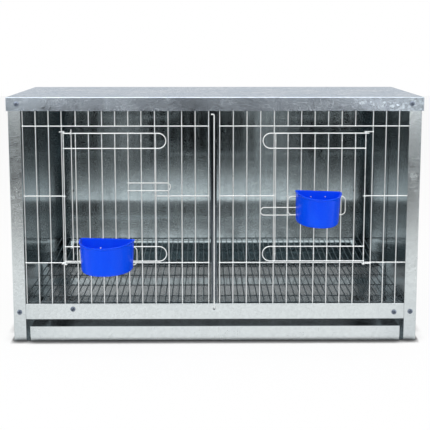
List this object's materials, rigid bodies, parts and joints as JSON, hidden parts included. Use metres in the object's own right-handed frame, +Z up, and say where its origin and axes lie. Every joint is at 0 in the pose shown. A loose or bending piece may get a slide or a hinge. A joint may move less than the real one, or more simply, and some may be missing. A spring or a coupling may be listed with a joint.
{
  "type": "double pigeon cage",
  "caption": "Wide sheet-metal cage with two wire-fronted compartments, side-hinged wire doors, hook-on feeding cups and a pull-out droppings tray.",
  "frame": {"origin": "on the ground under the middle of the overall box, cups included", "axes": "+X runs to the right along the front, -Y is the front with the doors and cups, +Z is up"},
  "size_m": [0.8, 0.4682, 0.48],
  "materials": {
    "galvanised_lid": "smooth galvanised sheet with faint spangle",
    "galvanised_frame": "galvanised sheet with visible spangle",
    "galvanised_inside": "bright galvanised sheet with large spangle, mirror-like at a low angle",
    "galvanised_partition": "galvanised sheet with large spangle, its front flange in shade",
    "galvanised_tray": "plain galvanised sheet, satin",
    "front_wire": "zinc-plated drawn wire, satin",
    "floor_wire": "galvanised welded wire, dull",
    "thin_wire": "bright plated wire",
    "cup_plastic": "moulded plastic, semi-gloss",
    "screw_zinc": "zinc-plated, slightly blue",
    "rivet_steel": "plain steel rivet"
  },
  "bodies": {
    "root": {"lid": "galvanised_lid", "left_side_panel": "galvanised_frame", "right_side_panel": "galvanised_frame", "rear_panel": "galvanised_inside", "partition": "galvanised_partition", "front_header": "galvanised_frame", "front_rail": "galvanised_frame", "rear_ledge": "galvanised_frame", "left_floor_mesh": "floor_wire", "right_floor_mesh": "floor_wire", "left_grille": "front_wire", "right_grille": "front_wire", "left_hinge_eyes": "front_wire", "right_hinge_eyes": "front_wire", "centre_rod": "front_wire", "lid_screws": "screw_zinc", "body_screws": "screw_zinc", "rear_rivets": "rivet_steel", "partition_rivets": "rivet_steel"},
    "tray": {"tray": "galvanised_tray"},
    "left_door": {"left_door": "front_wire", "door_hook_wire": "thin_wire"},
    "right_door": {"right_door": "front_wire"},
    "left_latch": {"left_latch": "thin_wire"},
    "right_latch": {"right_latch": "thin_wire"},
    "left_cup": {"left_cup": "cup_plastic", "left_cup_bracket": "thin_wire"},
    "right_cup": {"right_cup": "cup_plastic", "right_cup_bracket": "thin_wire"}
  },
  "joints": [
    {"name": "tray_slide", "type": "slide", "parent": "root", "child": "tray", "axis": [0, -1, 0], "range_m": [0, 0.34]},
    {"name": "left_door_hinge", "type": "hinge", "parent": "root", "child": "left_door", "pos_m": [-0.2917, -0.1435, 0.291], "axis": [0, 0, -1], "range_deg": [0, 110]},
    {"name": "right_door_hinge", "type": "hinge", "parent": "root", "child": "right_door", "pos_m": [0.2898, -0.1435, 0.291], "axis": [0, 0, 1], "range_deg": [0, 110]},
    {"name": "left_latch_turn", "type": "hinge", "parent": "left_door", "child": "left_latch", "pos_m": [-0.1677, -0.1435, 0.3073], "axis": [0, 0, -1], "range_deg": [0, 120]},
    {"name": "right_latch_slide", "type": "slide", "parent": "right_door", "child": "right_latch", "axis": [0, 0, 1], "range_m": [-0.058, 0.019]},
    {"name": "left_cup_lift", "type": "slide", "parent": "left_door", "child": "left_cup", "axis": [0, 0, 1], "range_m": [0, 0.08]},
    {"name": "right_cup_lift", "type": "slide", "parent": "right_door", "child": "right_cup", "axis": [0, 0, 1], "range_m": [0, 0.08]}
  ]
}
